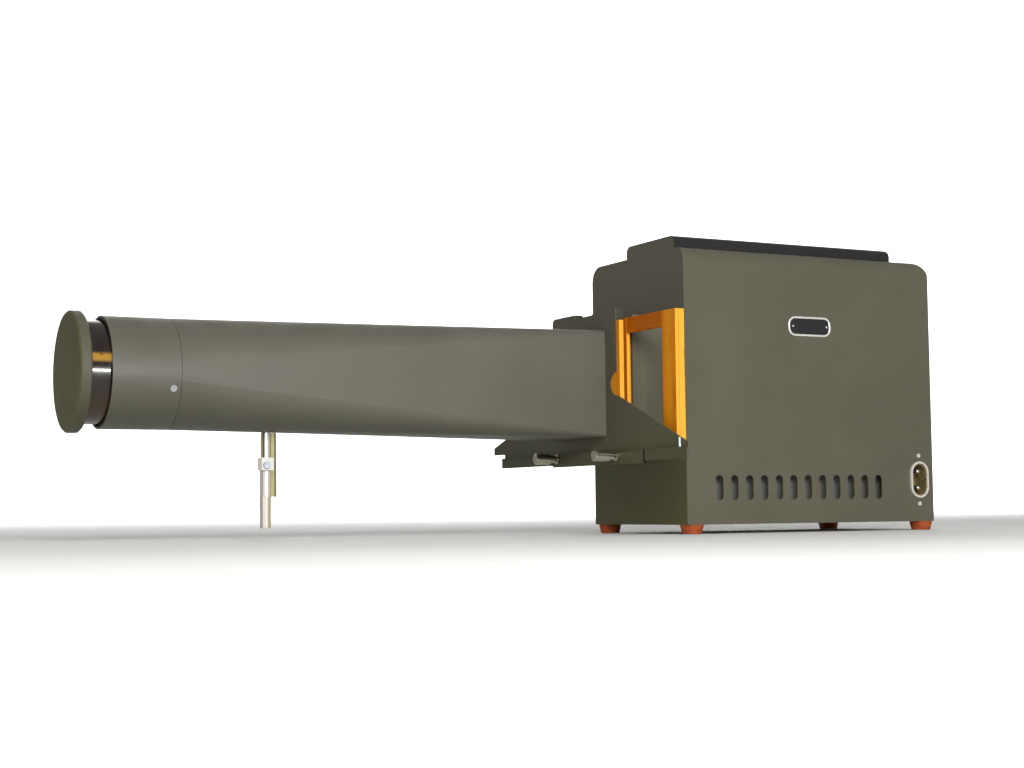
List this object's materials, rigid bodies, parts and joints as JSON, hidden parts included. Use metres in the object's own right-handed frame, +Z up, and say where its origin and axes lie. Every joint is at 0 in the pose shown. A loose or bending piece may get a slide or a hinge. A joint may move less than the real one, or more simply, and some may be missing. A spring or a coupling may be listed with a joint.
{
  "type": "lantern slide projector",
  "caption": "Mains slide projector: ventilated lamp house on rubber feet, sliding wooden changer in a stage, long tube on a leg with focusing lens and push-on cap.",
  "frame": {"origin": "middle of the footprint of the whole object, on the surface that the feet stand on", "axes": "+X from the lens end to the lamp house end, +Y to the far side, +Z up"},
  "size_m": [0.976, 0.431, 0.3243],
  "materials": {
    "house_paint": "fine satin olive-grey paint",
    "tube_paint": "fine satin olive-grey paint",
    "black_enamel": "satin black enamel",
    "gloss_black": "gloss black lacquer",
    "varnished_wood": "clear orange varnish",
    "foot_rubber": "matt red-brown rubber",
    "nickel": "polished nickel plate",
    "bright_steel": "bright turned steel",
    "cast_base": "painted casting",
    "alloy": "satin",
    "brass_parts": "turned brass",
    "lens_glass": "polished optical glass",
    "bulb_glass": "clear bulb glass",
    "mirror_silver": "silvered",
    "moulded_brown": "moulded insulating resin",
    "ceramic_white": "glazed ceramic",
    "felt_black": "black felt lining",
    "core_steel": "varnished laminations",
    "coil_copper": "enamelled winding",
    "lead_cover": "rubber covered lead"
  },
  "bodies": {
    "root": {"lamp_house_shell": "house_paint", "end_plate": "house_paint", "base_plate": "cast_base", "vent_hood": "black_enamel", "outlet_baffle": "black_enamel", "vent_baffle": "black_enamel", "foot_left_near": "foot_rubber", "foot_left_far": "foot_rubber", "foot_right_near": "foot_rubber", "foot_right_far": "foot_rubber", "foot_screws": "bright_steel", "cover_screws": "bright_steel", "badge": "nickel", "inlet_rim": "nickel", "inlet_insulator": "moulded_brown", "inlet_pins": "bright_steel", "inlet_screws": "nickel", "lamp_bulb": "bulb_glass", "lamp_cap": "brass_parts", "lamp_holder": "ceramic_white", "lamp_pillar": "alloy", "mirror": "mirror_silver", "mirror_bracket": "bright_steel", "condenser_barrel": "alloy", "condenser_lens_front": "lens_glass", "condenser_lens_rear": "lens_glass", "heat_filter": "lens_glass", "condenser_rings": "brass_parts", "condenser_housing": "tube_paint", "transformer_core": "core_steel", "transformer_coil": "coil_copper", "mains_lead": "lead_cover", "lamp_lead": "lead_cover", "stage_plate": "tube_paint", "stage_rail_bar": "tube_paint", "rail_end_blocks": "tube_paint", "changer_channel": "tube_paint", "changer_guide": "varnished_wood", "stage_top_bar": "tube_paint", "changer_stops": "nickel", "tube_body": "tube_paint", "front_sleeve": "tube_paint", "joint_ring": "alloy", "sleeve_screws": "bright_steel", "focus_bush": "felt_black", "leg_bar": "bright_steel", "leg_clamp": "alloy"},
    "slide_changer": {"changer_front_frame": "varnished_wood", "changer_back_frame": "varnished_wood"},
    "clamp_near": {"clamp_screw_near": "nickel"},
    "clamp_far": {"clamp_screw_far": "nickel"},
    "projection_lens": {"lens_barrel": "gloss_black", "front_lens": "lens_glass", "rear_lens": "lens_glass", "lens_ring": "brass_parts"},
    "cap": {"lens_cap": "tube_paint"},
    "leg": {"leg_rod": "nickel", "leg_stem": "nickel", "leg_tip": "nickel"},
    "leg_clamp_screw": {"leg_screw": "nickel"}
  },
  "joints": [
    {"name": "changer_slide", "type": "slide", "parent": "root", "child": "slide_changer", "axis": [0, 1, 0], "range_m": [0, 0.1143]},
    {"name": "lens_focus", "type": "slide", "parent": "root", "child": "projection_lens", "axis": [-1, 0, 0], "range_m": [-0.014, 0.036]},
    {"name": "cap_pull", "type": "slide", "parent": "projection_lens", "child": "cap", "axis": [-1, 0, 0], "range_m": [0, 0.03]},
    {"name": "leg_slide", "type": "slide", "parent": "root", "child": "leg", "axis": [0, 0, -1], "range_m": [0, 0.022]},
    {"name": "leg_screw_turn", "type": "hinge", "parent": "root", "child": "leg_clamp_screw", "pos_m": [-0.291, -0.01, 0.0752], "axis": [0, -1, 0], "range_deg": [0, 360]},
    {"name": "clamp_near_turn", "type": "hinge", "parent": "root", "child": "clamp_near", "pos_m": [0.06, -0.081, 0.084], "axis": [-1, 0, 0], "range_deg": [0, 360]},
    {"name": "clamp_far_turn", "type": "hinge", "parent": "root", "child": "clamp_far", "pos_m": [0.06, 0.049, 0.084], "axis": [-1, 0, 0], "range_deg": [0, 360]}
  ]
}
